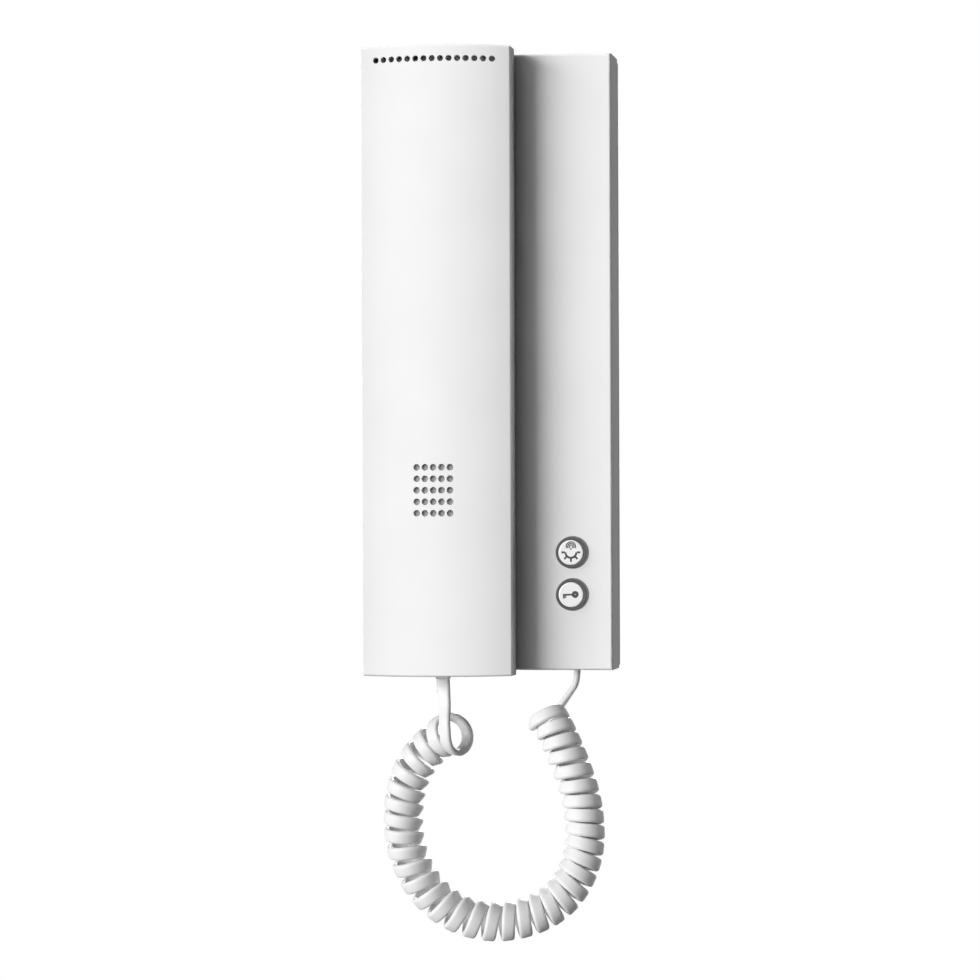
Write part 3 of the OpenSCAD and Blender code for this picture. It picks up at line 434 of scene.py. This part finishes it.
def band(radius, width, start, end, centre):
    """Part of a flat ring."""
    outer = arc(radius + width / 2, start, end, centre)
    inner = arc(radius - width / 2, end, start, centre)
    return outer + inner


def arch(radius, width, centre_z, foot_z):
    """Half ring on straight legs."""
    outer = arc(radius + width / 2, 0, 180, (0, centre_z))
    inner = arc(radius - width / 2, 180, 0, (0, centre_z))
    legs = [(outer[-1][0], foot_z), (inner[0][0], foot_z)]
    return outer + legs + inner + [(-x, z) for x, z in reversed(legs)]


def bar(x0, z0, x1, z1, width):
    length = math.hypot(x1 - x0, z1 - z0)
    nx, nz = -(z1 - z0) / length * width / 2, (x1 - x0) / length * width / 2
    return [(x0 + nx, z0 + nz), (x0 - nx, z0 - nz), (x1 - nx, z1 - nz), (x1 + nx, z1 + nz)]


def lamp_sign():
    shade = [arch(radius, SHADE_LINE, SHADE_CENTRE_Z, SHADE_FOOT_Z) for radius in SHADE_RADII]
    stem = bar(0, SHADE_FOOT_Z, 0, STEM_FOOT_Z, STEM_WIDTH)
    bulb = band(BULB_RADIUS, BULB_LINE, 180, 360, (0, BULB_CENTRE_Z))
    rays = []
    for degrees in range(180, 361, RAY_STEP_DEG):
        x, z = math.cos(math.radians(degrees)), math.sin(math.radians(degrees))
        start = (RAY_FROM * x, BULB_CENTRE_Z + RAY_FROM * z)
        end = (RAY_TO * x, BULB_CENTRE_Z + RAY_TO * z)
        rays.append(bar(*start, *end, RAY_WIDTH))
    return shade + [stem, bulb] + rays


def key_sign():
    bow = [band(BOW_RADIUS, BOW_LINE, half, half + 180, BOW_CENTRE) for half in (0, 180)]
    shaft = bar(*SHAFT_FROM, *SHAFT_TO, SHAFT_WIDTH)
    bits = [bar(x, 0, x, foot_z, width) for x, foot_z, width in BITS]
    return bow + [shaft] + bits


for name, sign in (("light", lamp_sign()), ("door", key_sign())):
    low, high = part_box(f"{name}_button")
    centre = ((low[0] + high[0]) / 2, low[1], (low[2] + high[2]) / 2)
    paint(ink(f"{name}_sign", sign, centre, f"{name}_button"), MATERIALS["black_plastic"])


def soft_dome(name):
    rest = frame["nodes"][f"{name}_dome"]
    dome = bpy.data.objects.new(f"{name}_dome_soft", rest.data.copy())
    scene.collection.objects.link(dome)
    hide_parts(f"{name}_dome")
    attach(dome, "base")
    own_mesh(dome)
    paint(dome, MATERIALS["rubber"])


soft_dome("light")
soft_dome("door")


# Light: soft lamps, most of them for the handset, the base or the cord alone
MIDDLE = Vector((0, 0, -0.04))
LAMP_DISTANCE = 3.2


def collect(name, objects):
    group = bpy.data.collections.new(name)
    for obj in objects:
        group.objects.link(obj)
    return group


def area_light(name, azimuth, elevation, size, power, lit=(), shading=()):
    """Soft lamp aimed at the object; azimuth 0 is the front, 90 the right. No list means all pieces."""
    a, e = math.radians(azimuth), math.radians(elevation)
    towards = Vector((math.sin(a) * math.cos(e), -math.cos(a) * math.cos(e), math.sin(e)))
    data = bpy.data.lights.new(name, "AREA")
    data.shape = "RECTANGLE"
    data.size, data.size_y = size
    data.energy = power
    light = bpy.data.objects.new(name, data)
    light.location = MIDDLE + LAMP_DISTANCE * towards
    light.rotation_euler = towards.to_track_quat("Z", "Y").to_euler()
    scene.collection.objects.link(light)
    if lit:
        light.light_linking.receiver_collection = collect(f"{name}_lit", lit)
    if shading:
        light.light_linking.blocker_collection = collect(f"{name}_shading", shading)


HANDSET = [frame["nodes"][name] for name in frame["record"]["behaviour"]["bodies"]["handset"]]
BASE = [obj for obj in scene.objects if obj.type == "MESH" and obj not in HANDSET + [cord]]
BUTTON_PIECES = ("light_", "door_")
LARGE = HANDSET + [obj for obj in BASE if not obj.name.startswith(BUTTON_PIECES)]
LAMPS = [
    # name, azimuth and elevation in degrees, width and height, watts, lit pieces, shading pieces
    ("handset_key", -13, 12, (1.7, 1.8), 112, HANDSET, ()),
    ("base_key", -45, 12, (2.2, 1.8), 142, BASE, LARGE),
    ("base_fill", -17, 12, (0.9, 1.8), 10, BASE, ()),
    ("cord_key", -38, 4, (1.8, 1.8), 122, [cord], ()),
    ("top", -20, 60, (1.6, 1.2), 6, (), ()),
    ("handset_right", 104, 8, (1.2, 1.8), 18, HANDSET, ()),
    ("base_right", 112, 8, (1.0, 1.8), 22, BASE + [cord], ()),
    ("left", -130, 8, (1.0, 1.8), 72, HANDSET, ()),
    ("back", 180, 20, (0.6, 1.8), 80, BASE + [cord], ()),
    ("above", 180, 80, (0.4, 1.0), 40, LARGE, ()),
]
for lamp in LAMPS:
    area_light(*lamp)

# Floor and surroundings: pale to the camera and in reflections, with little light of their own
FLOOR_Z = -0.3
FLOOR_HALF = 0.6
FLOOR_ROUGH = 0.7
FLOOR_GRAIN_MM = 2
FLOOR_SEEN = 0.35
FADE_FROM = 0.32
FADE_TO = 0.6
FLOOR_PALE = 0.8
FLOOR_DIM = 0.05
FLOOR_LAMP = (-20, 65, (1.0, 1.0), 80)
SURROUND = 0.01


def seen_strength(nodes, links, low, high):
    """High for rays from the camera and by way of shiny or clear surfaces, low for light on matt ones."""
    path = nodes.new("ShaderNodeLightPath")
    seen = path.outputs["Is Camera Ray"]
    for ray in ("Is Glossy Ray", "Is Transmission Ray"):
        either = nodes.new("ShaderNodeMath")
        either.operation = "MAXIMUM"
        links.new(seen, either.inputs[0])
        links.new(path.outputs[ray], either.inputs[1])
        seen = either.outputs[0]
    return spread(nodes, links, seen, low, high)


def make_floor():
    signs = ((-1, -1), (1, -1), (1, 1), (-1, 1))
    corners = [(x * FLOOR_HALF, y * FLOOR_HALF, FLOOR_Z) for x, y in signs]
    floor = new_mesh("floor", corners, [(0, 1, 2, 3)])
    material = moulded("floor_pale", (FLOOR_PALE,) * 3, FLOOR_ROUGH, grain_mm=FLOOR_GRAIN_MM, edge_mm=0)
    nodes, links = material.node_tree.nodes, material.node_tree.links
    shader = nodes["Principled BSDF"]
    links.new(seen_strength(nodes, links, FLOOR_DIM, FLOOR_PALE), shader.inputs["Base Color"])
    shader.inputs["Emission Color"].default_value = (1, 1, 1, 1)
    distance = nodes.new("ShaderNodeVectorMath")
    distance.operation = "LENGTH"
    links.new(nodes["place"].outputs["Object"], distance.inputs[0])
    faded = nodes.new("ShaderNodeMath")
    faded.operation = "MULTIPLY"
    fade = spread(nodes, links, distance.outputs["Value"], FLOOR_SEEN, 1.0, FADE_FROM, FADE_TO)
    links.new(fade, faded.inputs[0])
    links.new(seen_strength(nodes, links, 0, 1.0), faded.inputs[1])
    links.new(faded.outputs[0], shader.inputs["Emission Strength"])
    paint(floor, material)
    area_light("floor", *FLOOR_LAMP, lit=[floor])


def make_world():
    world = bpy.data.worlds.new("white")
    world.use_nodes = True
    nodes, links = world.node_tree.nodes, world.node_tree.links
    nodes.clear()
    background = nodes.new("ShaderNodeBackground")
    background.inputs["Color"].default_value = (1, 1, 1, 1)
    links.new(seen_strength(nodes, links, SURROUND, 1.0), background.inputs["Strength"])
    output = nodes.new("ShaderNodeOutputWorld")
    links.new(background.outputs[0], output.inputs["Surface"])
    scene.world = world


make_floor()
make_world()
scene.view_settings.view_transform = "Standard"
